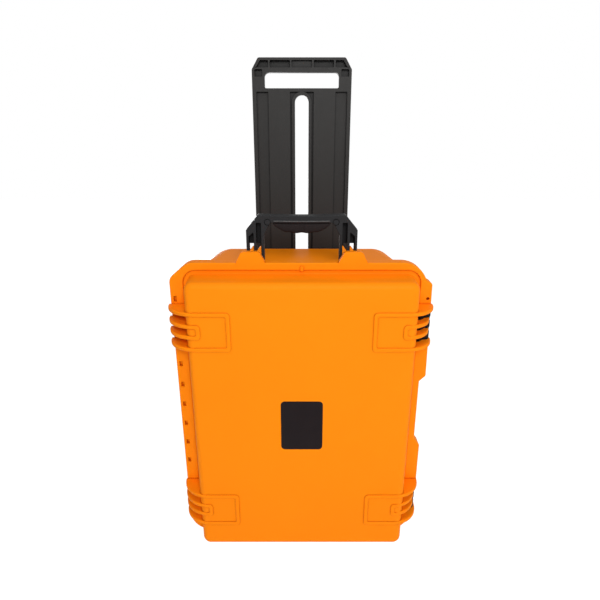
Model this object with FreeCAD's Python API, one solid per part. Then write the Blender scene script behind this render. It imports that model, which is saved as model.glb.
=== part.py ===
import FreeCAD, Part
import math
import os

# A wheeled hard case for a drone, standing upright on two wheels and two rubber feet. Its lid faces -Y and is
# hinged along the left edge, its latches are on the right edge, and the trolley slides on its back. The origin
# is on the floor under the centre of the case, +Z is up, and sizes are in millimetres.

# Overall sizes
case_width = 486.6        # hinge edge to latch edge, across the rims
case_depth = 297.0        # lid ribs to the cover on the back
rim_top = 614.0           # floor to the top of the rim
rim_bottom = 5.0          # floor to the underside of the rim
lid_depth = 64.3          # lid ribs to the parting plane

# Shells
wall = 4.0
lid_gap = 0.3             # lid rim to base rim
rim_reach = 33.3          # side of the tub to the edge of the rim
rim_over_tub = 22.0       # top of the tub to the top of the rim
rim_under_tub = 7.5       # underside of the tub to the underside of the rim
tub_corner = 16.0         # radius of the tub's corners
base_corner = 56.0        # radius of the base's two top corners at its back
face_round = 12.0         # rounding of the lid's face
lid_draft = 2.5           # how far the lid's walls lean in
back_round = 8.0          # rounding of the base's back edges
lid_flange = 12.0         # thickness of the lid's rim
base_flange = 13.7        # thickness of the base's rim
rim_round = 2.2           # rounding of the rim's front edges
moat_width = 8.5          # shallow channel in the lid's rim round the foot of its tub
moat_low_width = 3.2      # its width under the tub
moat_depth = 3.0
moat_round = 1.2
cove = 2.6                # hollow round where the lid's tub meets that channel

# Outline of the rims
rim_arc = 48.0            # large corner at the top right
foot_arc = 46.0           # large corner at the bottom left
bevel_x = 35.0            # bevelled corner at the top left
bevel_z = 29.0
toe_x = 34.0              # bevelled corner at the bottom right
toe_z = 37.0
rail_step = 12.0          # how far the latch rails stand out from the rim's right edge
rail_drop = 32.0          # top of the rim to the start of the upper latch rail
rail_shoulder = 18.0      # width of the slope at the top of that rail
rail_fall = 7.0           # its height
rail_lean = 3.0           # how far the rail's edge leans in beside the padlock eye
notch_under = 305.5       # top of the rim to the middle of the gap between the rails
notch_half = 65.5
notch_slant = 12.0        # height of the slope above the gap
notch_foot = 17.0         # height of the slope below it

# Ribs and fins
rib_raise = 2.0           # height of the ribs on the lid's face
rib_width = 7.3
rib_soft = 1.4            # rounding of the ribs
fin_soft = 2.2            # rounding of the fins
fin_root = 20.0           # how far inside the tub's side a fin starts
group_under = 115.5       # top of the rim to the middle of the upper rib group
lower_group = 105.7       # height of the middle of the lower rib group
outer_rib_height = 75.0   # across the two arms of an outer rib
inner_rib_height = 28.0
outer_end = 127.8         # centre line to the closed end of the outer ribs
inner_end = 182.0
base_fin_length = 68.0
fin_over_latch = 0.4      # how far the outer fins stand past the latch edge
fin_over_hinge = (4.4, 2.0)   # and the upper and lower fins past the hinge edge
fin_under_latch = 6.0     # edge of the rim to the shorter fins under a latch

# Hinge
hinge_in = 9.0            # edge of the rim to the hinge axis
hinge_behind = 4.0        # parting plane to the hinge axis
knuckle_radius = 6.5
knuckle_length = 20.0
knuckle_pitch = 44.32
first_knuckle = 102.5
hinge_end = 50.0          # least distance from the top of the rim to the last knuckle
hinge_pin_radius = 2.0
run_fit = 0.05            # radial clearance of a pin that something turns on
core_width = 6.2          # square pockets moulded in the hinge rim
core_height = 10.5
core_in = 8.7             # edge of the rim to the middle of a pocket
core_depth = 6.0

# Latches
latch_zone_edge = 14.0    # how far the rims are cut back under a latch
latch_well = 26.3         # how far the lid's rim is cut back between the fins for a latch's barrel
latch_pivot_in = 14.0     # edge of the rim to the latch pivot
latch_pivot_y = 50.0      # lid ribs to the latch pivot
latch_boss = 11.0         # radius of the barrel
latch_skin = 3.5
latch_side_gap = 1.2
latch_end_y = 131.0       # lid ribs to the free end of the lever
latch_inset = 1.3         # edge of the rim to the lever's outer face
latch_soft = 1.2
latch_toe = 5.0
latch_toe_gap = 0.6       # toe of the lever to the edge of the base's rim
latch_pin_radius = 2.2
button_long = 16.0
button_high = 24.0
button_y = 112.0          # lid ribs to the middle of the latch button
button_gap = 0.35
button_travel = 2.0
button_seat = 5.2         # lever's outer face to the floor of the button's window
latch_spring_radius = 4.6
latch_spring_wire = 0.8
padlock_radius = 3.2
padlock_in = 9.8          # edge of the rim to the padlock eye
padlock_under = 68.1      # top of the rim to the padlock eye

# Seal, badge and foam
seal_width = 4.0
seal_depth = 3.0
seal_out = 6.0            # inside wall of the lid to the seal's centre line
badge_half_width = 40.0
badge_under = 308.3       # top of the rim to the middle of the badge
badge_height = 106.5
badge_thick = 1.4
badge_sunk = 0.2
badge_corner = 8.0
foam_gap = 2.5
foam_seat = 0.3           # foam to the shell behind it and to the next foam
lid_foam_free = 3.5       # parting plane to the lid foam
insert_free = 1.5         # parting plane to the foam insert
foam_floor = 30.0
pocket_corner = 14.0
pocket_low = 42.5         # underside of the tub to the lowest pocket
pocket_land = 25.0        # foam between two rows of pockets
pocket_side = 60.0        # side of the tub to the widest pocket
charger_height = 50.0
middle_row = 120.0        # height of the controller's pocket
battery_height = 45.0
battery_width = 80.0
pocket_over = 52.0        # top of the drone's pocket to the top of the tub
drone_deep = 120.0
controller_deep = 85.0
charger_deep = 70.0

# Top handle
top_handle_behind = 2.0   # back of the base rim to the handle
top_handle_depth = 22.0
top_handle_rise = 82.0    # top of the rim to the top of the handle
top_handle_dip = 2.0      # how far the top edge sinks in its middle
top_handle_half = 102.3
top_leg_inner = 69.8
top_leg_rib = 4.5
top_bar = 14.8
top_chamfer_x = 22.6
top_chamfer_z = 27.4
top_inner_x = 12.0        # slope at the inside corners
top_inner_z = 24.0
top_pivot_up = 15.0       # top of the tub to the handle's pivot
top_leg_radius = 11.0
top_pin_radius = 3.0
grip_drop = 20.0
grip_in = 17.0            # inside of a leg to the end of the grip
prong_rise = 30.0         # pivot to the tip of a prong
prong_gap = 1.2

# Lugs on the lid's rim in front of the top handle's legs
lug_rise = 20.0
lug_top = (77.7, 109.5)   # centre line to the two ends of a lug's flat top
lug_foot = (67.0, 119.0)

# Side handle
side_half = 60.0
side_arm = 12.0
side_reach = 50.0         # pivot to the outside of the grip
side_bar = 20.0           # width of the bar that the grip is moulded on
side_thick = 16.0
side_pivot_out = 15.0     # side of the tub to the pivot
side_pivot_y = 105.0      # lid ribs to the pivot
side_pin_radius = 3.0
side_ear = 8.0
side_ear_gap = 0.8
grip_half = 36.0
grip_cover = 0.5          # how far the grip stands proud of the frame
grip_core = 4.0           # frame left inside the grip, from each face

# Trolley
plate_half = 101.5
plate_thick = 14.0
plate_in = 5.0            # top of the rim to the top of the plate when pushed in
plate_under = 120.0       # top of the back cover to the bottom of the plate when pulled out
plate_gap = 1.5           # back of the tub to the plate
cover_gap = 1.0           # plate to the back cover
cover_thick = 3.5
plate_side_gap = 0.8
plate_corner_x = 13.0
plate_corner_z = 22.0
plate_end_gap = 2.0       # plate to the end of its rails when pushed in
hand_half = 76.0
hand_under = 27.5         # top of the plate to the top of the hand opening
hand_height = 29.5
slot_half = 14.2
slot_under = 69.5         # top of the plate to the top of the slot
slot_over = 75.0          # bottom of the plate to the bottom of the slot
slot_rim = 6.0
pocket_under = 63.5       # top of the plate to the long pockets
pocket_deep = 6.0
grip_land = 9.0           # top of the hand opening to the pockets above it
grip_edge = 5.0           # those pockets to the top of the plate
grip_pockets = (-66.5, -22.4, 22.4, 66.5)
grip_rib = 1.6
land_outer = 68.7
land_inner = 24.5
edge_flange = 8.0
release_half = 17.0       # release button in the back of the grip
release_high = 9.0
release_deep = 6.5
release_spring = 2.8
release_proud = 0.8
release_spring_radius = 3.5
release_spring_wire = 0.7
spring_free = 0.05        # spring to the button that it pushes
rail_width = 19.5
rail_low = 62.0
rail_under = 48.0         # top of the rim to the top of the rails
rail_soft = 3.0
cover_low = 76.0
cover_under = 58.0        # top of the rim to the top of the back cover
cover_screw_in = 16.0     # end of the cover to its first screw
screw_shank = 2.0
screw_head = 4.2
screw_deep = 12.0         # length of a cover screw
screw_recess = 1.1
guide_screw_half = 6.0
boss_gap = 0.35
boss_seat = 0.5           # height of the pad under the guide boss

# Wheels and feet
wheel_radius = 30.0
wheel_width = 27.0
wheel_in = 45.5           # side of the tub to the middle of a wheel
wheel_behind = 35.0       # back of the case to the axle
tread = 8.0
tyre_soft = 4.0
axle_radius = 4.0
bearing_radius = 8.0
bearing_width = 7.0
hub_dish = 6.0
hub_wall = 3.5
well_side_gap = 3.5
well_gap = 4.0
well_lip = 8.0            # back of the case to the back of a wheel's housing
housing_wall = 5.0
housing_foam = 1.5        # wheel housing to the foam round it
spacer_wall = 3.0
spacer_gap = 0.3
foot_half = 30.0
foot_in = 60.0            # side of the tub to the middle of a foot
foot_long = 34.0
foot_thick = 6.0
foot_edge = 2.0           # rubber foot to the edge of its pad

# Purge valve
valve_y = 190.0           # lid ribs to the valve
valve_radius = 11.0
valve_cap = 7.0
valve_stem = 6.0
valve_grip = 1.6          # radius of the finger grooves round its cap
valve_grips = 12

# Planes and edges that the sizes above give
half = case_width / 2
y_front = -case_depth / 2
y_back = case_depth / 2
y_face = y_front + rib_raise
y_part = y_front + lid_depth
y_lid_back = y_part - lid_gap
y_lid_rim = y_lid_back - lid_flange
y_moat = y_lid_rim + moat_depth
y_base_rim = y_part + base_flange
y_cover = y_back - cover_thick
y_plate_back = y_cover - cover_gap
y_plate = y_plate_back - plate_thick
y_tub_back = y_plate - plate_gap
tub_half = half - rim_reach
tub_top = rim_top - rim_over_tub
tub_bottom = rim_bottom + rim_under_tub
rim_right = half - rail_step
notch_centre = rim_top - notch_under
upper_group = rim_top - group_under
rib_groups = (upper_group, lower_group)
fin_x = tub_half - fin_root
box_shift = (max(fin_over_hinge) - fin_over_latch) / 2
hinge_x = -half + hinge_in
hinge_y = y_part + hinge_behind
knuckle_count = int((rim_top - hinge_end - first_knuckle) / knuckle_pitch) + 1
latch_x = half - latch_pivot_in
latch_y = y_front + latch_pivot_y
latch_out = half - latch_inset
badge_low = rim_top - badge_under - badge_height / 2
badge_high = badge_low + badge_height
top_handle_top = rim_top + top_handle_rise
top_y = y_base_rim + top_handle_behind + top_handle_depth / 2
top_z = tub_top + top_pivot_up
side_x = tub_half + side_pivot_out
side_y = y_front + side_pivot_y
rail_top = rim_top - rail_under
cover_top = rim_top - cover_under
plate_bottom = cover_top - plate_under
trolley_travel = plate_bottom - rail_low - plate_end_gap
plate_top = rim_top - plate_in + trolley_travel
hand_high = plate_top - hand_under
hand_low = hand_high - hand_height
slot_top = plate_top - slot_under
slot_bottom = plate_bottom + slot_over
pocket_top = plate_top - pocket_under
release_middle = (hand_high + grip_land + plate_top - grip_edge) / 2
wheel_x = tub_half - wheel_in
wheel_y = y_back - wheel_behind
foot_x = tub_half - foot_in
valve_at = y_front + valve_y
foam_back = y_tub_back - wall - foam_seat
pocket_half = tub_half - pocket_side
charger_low = tub_bottom + pocket_low
middle_low = charger_low + charger_height + pocket_land
middle_high = middle_low + middle_row
drone_low = middle_high + 2 * pocket_land
drone_high = tub_top - pocket_over


def point(x, y, z):
    return FreeCAD.Vector(x, y, z)


def block(x, y, z):
    """A box between three (low, high) pairs."""
    return Part.makeBox(x[1] - x[0], y[1] - y[0], z[1] - z[0], point(x[0], y[0], z[0]))


def rod(radius, start, axis, length):
    return Part.makeCylinder(radius, length, start, axis)


ALONG_X = point(1, 0, 0)
ALONG_Y = point(0, 1, 0)
ALONG_Z = point(0, 0, 1)
PLACES = {
    "xy": (lambda u, v, w: point(u, v, w), ALONG_Z),
    "xz": (lambda u, v, w: point(u, w, v), ALONG_Y),
    "yz": (lambda u, v, w: point(w, u, v), ALONG_X),
}


def outline(corners, plane, level):
    """A closed wire through (u, v, radius) corners, each rounded by an arc of its radius."""
    place = PLACES[plane][0]
    flat = [point(u, v, 0) for u, v, _ in corners]
    runs = []
    for i, (u, v, radius) in enumerate(corners):
        corner = flat[i]
        before = (flat[i - 1] - corner).normalize()
        after = (flat[(i + 1) % len(flat)] - corner).normalize()
        half_turn = before.getAngle(after) / 2
        reach = radius / math.tan(half_turn)
        inward = (before + after).normalize() if radius else point(0, 0, 0)
        middle = corner + inward * (radius / math.sin(half_turn) - radius)
        runs.append((corner + before * reach, middle, corner + after * reach, radius))
    edges = []
    for i, (start, middle, end, radius) in enumerate(runs):
        a, b, c = [place(p.x, p.y, level) for p in (start, middle, end)]
        if radius:
            edges.append(Part.Arc(a, b, c).toShape())
        following = runs[(i + 1) % len(runs)][0]
        d = place(following.x, following.y, level)
        if c.distanceToPoint(d) > 1e-6:
            edges.append(Part.LineSegment(c, d).toShape())
    return Part.Wire(edges)


def prism(corners, plane, low, high):
    """The outline's solid between two levels of the third axis."""
    face = Part.Face(outline(corners, plane, low))
    return face.extrude(PLACES[plane][1] * (high - low))


def rectangle(u, v, radius):
    return [(u[0], v[0], radius), (u[1], v[0], radius), (u[1], v[1], radius), (u[0], v[1], radius)]


def soften(solid, radius, chosen):
    """Round every edge for which chosen(edge) holds."""
    return solid.makeFillet(radius, [e for e in solid.Edges if chosen(e)])


def flat_at(axis, level):
    """A test for edges that lie wholly in one plane across an axis."""
    def test(edge):
        low = getattr(edge.BoundBox, axis + "Min")
        high = getattr(edge.BoundBox, axis + "Max")
        return abs(low - level) < 1e-3 and abs(high - level) < 1e-3
    return test


def runs_along(axis):
    """A test for straight edges along one axis."""
    def test(edge):
        others = [a for a in "XYZ" if a != axis]
        return all(getattr(edge.BoundBox, a + "Length") < 1e-3 for a in others)
    return test


def mirrored(solid):
    return solid.mirror(point(0, 0, 0), ALONG_X)


def both_sides(solid):
    return [solid, mirrored(solid)]


def fuse(*solids):
    return solids[0].multiFuse(list(solids[1:])).removeSplitter()


def cut(solid, *tools):
    return solid.cut(list(tools))


def save(node, *solids):
    """Write one node, moved so that the origin lies under the middle of the outer box."""
    pieces = [s.translated(ALONG_X * box_shift) for solid in solids for s in solid.Solids]
    for piece in pieces:
        if not piece.isValid():
            raise ValueError(node + " is not a valid solid")
    shape = pieces[0] if len(pieces) == 1 else Part.makeCompound(pieces)
    shape.exportStep("parts/" + node + ".step")
    return shape


def tub_outline(inset, low_radius, top_radius):
    """The tub's outline moved in by inset, with its lower and upper corner radii."""
    left = -tub_half + inset
    right = tub_half - inset
    low = tub_bottom + inset
    high = tub_top - inset
    return [(left, low, low_radius), (right, low, low_radius), (right, high, top_radius), (left, high, top_radius)]


def lid_outline(inset):
    return tub_outline(inset, tub_corner - inset, tub_corner - inset)


def lofted_lid(inset, y_open, y_closed):
    """The lid's tub, which leans in from its rim to its face."""
    wide = outline(lid_outline(inset), "xz", y_open)
    radius = tub_corner - inset
    narrow = outline(tub_outline(inset + lid_draft, radius, radius), "xz", y_closed)
    return Part.makeLoft([wide, narrow], True, True)


def base_section(inset, y):
    """The base's outline at one depth: its top corners grow rounder towards the back."""
    share = (y - y_part) / (y_tub_back - y_part)
    top_radius = tub_corner + (base_corner - tub_corner) * share
    return outline(tub_outline(inset, tub_corner - inset, top_radius - inset), "xz", y)


def base_tub(inset, y_low, y_high):
    return Part.makeLoft([base_section(inset, y_low), base_section(inset, y_high)], True, True)


def rim(y_low, y_high):
    """The rim shared by lid and base: a plate with latch rails on the right and a notch between them."""
    root = tub_half - tub_corner
    main = prism(
        [
            (-half, rim_bottom, foot_arc), (-half, rim_top - bevel_z, 18), (-half + bevel_x, rim_top, 30),
            (rim_right, rim_top, rim_arc), (rim_right, rim_bottom + toe_z, 0), (root, rim_bottom, 0),
        ],
        "xz", y_low, y_high,
    )
    shoulder = rim_top - rail_drop
    upper_notch = notch_centre + notch_half
    lower_notch = notch_centre - notch_half
    upper = prism(
        [
            (root, shoulder, 0), (half - rail_shoulder, shoulder, 0), (half - rail_lean, shoulder - rail_fall, 6),
            (half, upper_notch + notch_slant, 5), (rim_right - 1, upper_notch - 1, 0), (root, upper_notch, 0),
        ],
        "xz", y_low, y_high,
    )
    lower = prism(
        [
            (root, lower_notch, 0), (rim_right - 1, lower_notch + 1, 0), (half, lower_notch - notch_foot, 5),
            (half, rim_bottom + toe_z, 18), (half - toe_x, rim_bottom, 22), (root - 30, rim_bottom, 0),
        ],
        "xz", y_low, y_high,
    )
    return fuse(main, upper, lower)


def group_heights(centre):
    """The four arm heights of a rib group, from the lowest: outer, inner, inner, outer."""
    outer = (outer_rib_height - rib_width) / 2
    inner = (inner_rib_height - rib_width) / 2
    return [centre - outer, centre - inner, centre + inner, centre + outer]


def lid_fin(centre_z, reach):
    """A fin that sweeps from the lid's face round to its rim."""
    across = reach - fin_x
    deep = y_lid_rim + 1 - y_front
    diagonal = math.sqrt(0.5)
    start = point(fin_x, y_front, centre_z - rib_width / 2)
    middle = point(fin_x + across * diagonal, y_lid_rim + 1 - deep * diagonal, start.z)
    end = point(reach, y_lid_rim + 1, start.z)
    root = point(fin_x, y_lid_rim + 1, start.z)
    wire = Part.Wire([
        Part.Arc(start, middle, end).toShape(),
        Part.LineSegment(end, root).toShape(),
        Part.LineSegment(root, start).toShape(),
    ])
    fin = Part.Face(wire).extrude(ALONG_Z * rib_width)
    fin = soften(fin, fin_soft, lambda e: e.Curve.TypeId == "Part::GeomCircle")
    sill_x = (fin_x, tub_half + moat_width + 2)
    sill_z = (centre_z - rib_width / 2, centre_z + rib_width / 2)
    sill = block((min(sill_x), max(sill_x)), (y_lid_rim + 0.5, y_moat + 1), sill_z)
    return fuse(fin, sill)


def base_fin(centre_z, reach, y_start):
    """A fin that sweeps from the base's rim back to the side of its tub."""
    across = reach - tub_half + wall / 2
    diagonal = math.sqrt(0.5)
    root = point(tub_half - wall / 2, y_start, centre_z - rib_width / 2)
    start = root + ALONG_X * across
    middle = root + point(across * diagonal, base_fin_length * diagonal, 0)
    end = root + ALONG_Y * base_fin_length
    wire = Part.Wire([
        Part.Arc(start, middle, end).toShape(),
        Part.LineSegment(end, root).toShape(),
        Part.LineSegment(root, start).toShape(),
    ])
    fin = Part.Face(wire).extrude(ALONG_Z * rib_width)
    return soften(fin, fin_soft, lambda e: e.Curve.TypeId == "Part::GeomCircle")


def face_rib(centre_z, height, end_x):
    """A raised U on the lid's face, open towards the side, where its arms run into the fins."""
    outer = prism(rectangle((end_x, fin_x + 40), (centre_z - height / 2, centre_z + height / 2), 7),
                  "xz", y_front, y_face + wall / 2)
    inner = prism(
        rectangle((end_x + rib_width, fin_x + 40),
                  (centre_z - height / 2 + rib_width, centre_z + height / 2 - rib_width), 3),
        "xz", y_front - 1, y_face + wall,
    )
    beyond = block((fin_x + 4, fin_x + 60), (y_front - 1, y_face + wall), (0, rim_top))
    rib = cut(outer, inner, beyond)
    return soften(rib, rib_soft, lambda e: flat_at("Y", y_front)(e) and e.BoundBox.XMin < fin_x + 3)


def lid_lug():
    """The guard on the lid's rim in front of one leg of the top handle."""
    near, far = lug_foot
    foot = rim_top + 1
    top = rim_top + lug_rise
    return prism(
        [(far, rim_top - 8, 0), (far, foot, 6), (lug_top[1], top, 5), (lug_top[0], top, 5), (near, foot, 6),
         (near, rim_top - 8, 0)],
        "xz", y_lid_rim, y_lid_back,
    )


def knuckle_centres():
    return [first_knuckle + i * knuckle_pitch for i in range(knuckle_count)]


def visible_cores():
    """Knuckle heights whose pockets are clear of the fins."""
    arms = [z for centre in rib_groups for z in group_heights(centre)]
    clear = (rib_width + core_height) / 2
    return [z for z in knuckle_centres() if all(abs(z - arm) > clear for arm in arms)]


def lid_knuckles():
    pieces = []
    low_web = y_lid_back - 1
    for z in knuckle_centres()[:-1]:
        middle = z + knuckle_pitch / 2
        low = middle - knuckle_length / 2
        pieces.append(rod(knuckle_radius, point(hinge_x, hinge_y, low), ALONG_Z, knuckle_length))
        pieces.append(block((hinge_x - knuckle_radius, hinge_x + knuckle_radius), (low_web, hinge_y),
                            (low, low + knuckle_length)))
    return pieces


def base_knuckles():
    pieces = []
    for z in knuckle_centres():
        low = z - knuckle_length / 2
        pieces.append(rod(knuckle_radius, point(hinge_x, hinge_y, low), ALONG_Z, knuckle_length))
        pieces.append(block((hinge_x, hinge_x + knuckle_radius + 4), (hinge_y - 2.5, y_base_rim - 1),
                            (low, low + knuckle_length)))
    return pieces


def hinge_bore():
    low = first_knuckle - knuckle_pitch
    high = knuckle_centres()[-1] + knuckle_pitch
    return rod(hinge_pin_radius + run_fit, point(hinge_x, hinge_y, low), ALONG_Z, high - low)


def latch_zone(centre):
    """Where a latch lies: the (low, high) heights between the two outer fins."""
    reach = outer_rib_height / 2 - rib_width
    return centre - reach, centre + reach


def padlock_hole():
    """The eye through both rims above the upper latch."""
    middle = point(half - padlock_in, y_lid_rim - 1, rim_top - padlock_under)
    return rod(padlock_radius, middle, ALONG_Y, lid_flange + lid_gap + base_flange + 2)


def seal_ring(side_gap, depth):
    """The seal's ring on the lid's parting face; with no side gap it is the groove."""
    out = seal_out - wall + (seal_width / 2 - side_gap)
    inward = seal_out - wall - (seal_width / 2 - side_gap)
    outer = prism(lid_outline(-out), "xz", y_lid_back - depth, y_lid_back)
    inner = prism(lid_outline(-inward), "xz", y_lid_back - depth, y_lid_back)
    return outer.cut(inner)


def valve_hole():
    return rod(valve_stem + run_fit, point(tub_half - 20, valve_at, notch_centre), ALONG_X, 60)


def make_lid_shell():
    rim_plate = rim(y_lid_rim, y_lid_back)
    rim_plate = soften(rim_plate, rim_round, flat_at("Y", y_lid_rim))
    moat_x = tub_half + moat_width
    moat_z = (tub_bottom - moat_low_width, tub_top + moat_width)
    rim_plate = rim_plate.cut(prism(rectangle((-moat_x, moat_x), moat_z, tub_corner + moat_width), "xz",
                                    y_lid_rim - 1, y_moat))

    def at_moat(edge):
        box = edge.BoundBox
        across = box.XMin > -moat_x - 0.5 and box.XMax < moat_x + 0.5
        return flat_at("Y", y_lid_rim)(edge) and across and box.ZMin > moat_z[0] - 0.5 and box.ZMax < moat_z[1] + 0.5

    rim_plate = soften(rim_plate, moat_round, at_moat)
    tub = lofted_lid(0, y_moat + 2, y_face)
    tub = soften(tub, face_round, flat_at("Y", y_face))
    shell = fuse(rim_plate, tub)

    def at_tub_foot(edge):
        box = edge.BoundBox
        near_tub = box.XMax < tub_half + 1 and box.XMin > -tub_half - 1
        return flat_at("Y", y_moat)(edge) and near_tub and box.ZMax < tub_top + 1 and box.ZMin > tub_bottom - 1

    shell = soften(shell, cove, at_tub_foot)
    added = lid_knuckles()
    added += both_sides(lid_lug())
    for centre, over in zip(rib_groups, fin_over_hinge):
        outer_rib = face_rib(centre, outer_rib_height, outer_end)
        inner_rib = face_rib(centre, inner_rib_height, inner_end)
        added += both_sides(outer_rib) + both_sides(inner_rib)
        for i, z in enumerate(group_heights(centre)):
            added.append(mirrored(lid_fin(z, half + over)))
            added.append(lid_fin(z, half + (fin_over_latch if i in (0, 3) else -fin_under_latch)))
    nub = prism(rectangle((-3, 3), (rim_top - 16, rim_top - 5.5), 2.9), "xz", y_lid_rim - 2.5, y_moat + 1)
    nub = soften(nub, 1.5, flat_at("Y", y_lid_rim - 2.5))
    shell = fuse(shell, nub, *added)
    room = lofted_lid(wall, y_lid_back + 1, y_face + wall)
    tools = [room, hinge_bore(), padlock_hole(), seal_ring(0, seal_depth)]
    tools.append(prism(rectangle((-badge_half_width, badge_half_width), (badge_low, badge_high), badge_corner),
                       "xz", y_face - 1, y_face + badge_thick - badge_sunk))
    knuckle_reach = knuckle_length / 2 + 1.3
    for z in knuckle_centres():
        tools.append(block((-half - 10, hinge_x + knuckle_radius + 5), (hinge_y - knuckle_radius - 1, hinge_y + 20),
                           (z - knuckle_reach, z + knuckle_reach)))
    core_x = -half + core_in
    for z in visible_cores():
        tools.append(block((core_x - core_width / 2, core_x + core_width / 2), (y_lid_rim - 1, y_lid_rim + core_depth),
                           (z - core_height / 2, z + core_height / 2)))
    for centre in rib_groups:
        low, high = latch_zone(centre)
        tools.append(block((half - latch_zone_edge, half + 1), (y_lid_rim + 1.5, y_lid_back + 1), (low, high)))
        tools.append(block((half - fin_under_latch + 0.4, half + 1), (y_lid_rim - 5, y_lid_back + 1), (low, high)))
        arms = group_heights(centre)
        for below, above in zip(arms, arms[1:]):
            tools.append(block((half - latch_well, half + 1), (y_lid_rim - 3, y_lid_back + 1),
                               (below + rib_width / 2, above - rib_width / 2)))
        tools.append(latch_pin(centre))
    return cut(shell, *tools)


def latch_segments(centre):
    """Heights of the three parts of a latch that lie between the fins."""
    arms = group_heights(centre)
    gap = latch_side_gap + rib_width / 2
    return [(low + gap, high - gap) for low, high in zip(arms, arms[1:])]


def make_latch_lever(centre):
    low, high = latch_zone(centre)
    low += latch_side_gap
    high -= latch_side_gap
    outside = latch_out
    inside = outside - latch_skin
    button_at = y_front + button_y
    end_y = y_front + latch_end_y
    bar_y = latch_y + latch_boss - 3
    bar = prism([(inside, bar_y, 0), (outside, bar_y, 0), (outside, end_y, 1.6), (inside, end_y, 1.6)],
                "xy", low, high)
    lever = [soften(bar, latch_soft, lambda e: runs_along("Y")(e) and abs(e.BoundBox.XMax - outside) < 1e-3)]
    under = outside - 1.5
    for bottom, top in latch_segments(centre):
        lever.append(rod(latch_boss, point(latch_x, latch_y, bottom), ALONG_Z, top - bottom))
        lever.append(block((latch_x, under), (latch_y, latch_y + latch_boss), (bottom, top)))
    body_y = (button_at - button_long / 2 - 4, button_at + button_long / 2 + 4)
    lever.append(block((half - latch_zone_edge + 3, under), body_y, (low, high)))
    toe_y = y_base_rim + 1.2
    lever.append(block((half - latch_zone_edge + latch_toe_gap, under), (toe_y, toe_y + latch_toe),
                       (low + 6, high - 6)))
    shape = fuse(*lever)
    window_y = button_long / 2 + button_gap
    window_z = button_high / 2 + button_gap
    window = block((outside - button_seat, outside + 1), (button_at - window_y, button_at + window_y),
                   (centre - window_z, centre + window_z))
    spring_room = rod(latch_spring_radius + 0.8, latch_spring_start(centre), ALONG_X, 5)
    pin = rod(latch_pin_radius + run_fit, point(latch_x, latch_y, low - 1), ALONG_Z, high - low + 2)
    return cut(shape, window, spring_room, pin)


def latch_spring_start(centre):
    """The inner end of a latch button's spring."""
    return point(latch_out - button_seat - 4.2, y_front + button_y, centre)


def make_latch_button(centre):
    y = y_front + button_y
    button = block((latch_out - button_seat + button_travel, latch_out + 0.4),
                   (y - button_long / 2, y + button_long / 2), (centre - button_high / 2, centre + button_high / 2))
    button = soften(button, 0.8, flat_at("X", latch_out + 0.4))
    boss = rod(2.2, point(latch_out - 7, y, centre), ALONG_X, 5)
    return fuse(button, boss)


def coil(radius, wire, length, start, axis):
    """A compression spring as a short stack of rings on a thin sleeve."""
    turns = max(2, int(length / (2 * wire)))
    step = length / turns
    rings = []
    for i in range(turns):
        rings.append(rod(radius, start + axis * (i * step + (step - wire) / 2), axis, wire))
    tube = rod(radius - wire * 0.25, start, axis, length)
    spring = fuse(tube, *rings)
    return spring.cut(rod(radius - wire, start - axis, axis, length + 2))


def latch_pin(centre):
    """A pin pressed into the two fins that stand beside a latch."""
    low, high = latch_zone(centre)
    return rod(latch_pin_radius, point(latch_x, latch_y, low - rib_width / 2), ALONG_Z, high - low + rib_width)


def base_outside():
    """The base's tub without its hollow."""
    return soften(base_tub(0, y_part, y_tub_back), back_round, flat_at("Y", y_tub_back))


def make_base_shell():
    added = []
    for side in (-1, 1):
        low = side * (plate_half + plate_side_gap)
        high = side * (plate_half + plate_side_gap + rail_width)
        rail = block((min(low, high), max(low, high)), (y_tub_back - wall, y_cover), (rail_low, rail_top))
        added.append(soften(rail, rail_soft, runs_along("Y")))
        added.append(wheel_housing(side))
        added.append(foot_pad(side))
    added.append(rod(valve_radius + 4, point(tub_half - wall - 1, valve_at, notch_centre), ALONG_X, wall + 3))
    added.append(boss_pad())
    shell = fuse(base_outside(), *added)
    room = base_tub(wall, y_part - 1, y_tub_back - wall)
    for side in (-1, 1):
        room = room.cut(housing_room(side))
    tools = [room, valve_hole()] + cover_screw_holes() + boss_screw_holes()
    for side in (-1, 1):
        tools += wheel_well(side)
    return cut(shell, *tools)


def make_base_rim():
    """The base's rim with its hinge knuckles and fins, as four bars round the open end of the tub."""
    rim_plate = rim(y_part, y_base_rim)
    hinge_side = block((-half - 1, hinge_x + knuckle_radius + 1.5), (y_part - 1, y_base_rim + 1), (0, rim_top + 1))
    rim_plate = rim_plate.cut(hinge_side)
    added = base_knuckles()
    hinge_reach = -hinge_x - knuckle_radius
    for centre in rib_groups:
        arms = group_heights(centre)
        for z in arms:
            added.append(mirrored(base_fin(z, hinge_reach, y_base_rim - 1)))
        for z in (arms[0], arms[3]):
            added.append(base_fin(z, half - 1, y_base_rim - 1))
    tools = [base_outside(), hinge_bore(), padlock_hole()]
    tools += [foot_pad(-1), foot_pad(1)]
    knuckle_reach = knuckle_length / 2 + 1.3
    for z in knuckle_centres()[:-1]:
        middle = z + knuckle_pitch / 2
        tools.append(block((-half - 1, hinge_x + knuckle_radius + 2.2), (y_part - 1, y_base_rim + 6),
                           (middle - knuckle_reach, middle + knuckle_reach)))
    for centre in rib_groups:
        low, high = latch_zone(centre)
        tools.append(block((half - latch_zone_edge, half + 1), (y_part - 1, y_base_rim + 1), (low, high)))
    whole = cut(fuse(rim_plate, *added), *tools)
    straight = tub_half - tub_corner
    outside = half + 10
    y = (y_part - 20, y_back)
    return [
        whole.common(block(x, y, z))
        for x, z in (
            ((straight, outside), (0, rim_top + 1)),
            ((-outside, -straight), (0, rim_top + 1)),
            ((-straight, straight), (rim_top / 2, rim_top + 1)),
            ((-straight, straight), (0, rim_top / 2)),
        )
    ]


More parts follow.
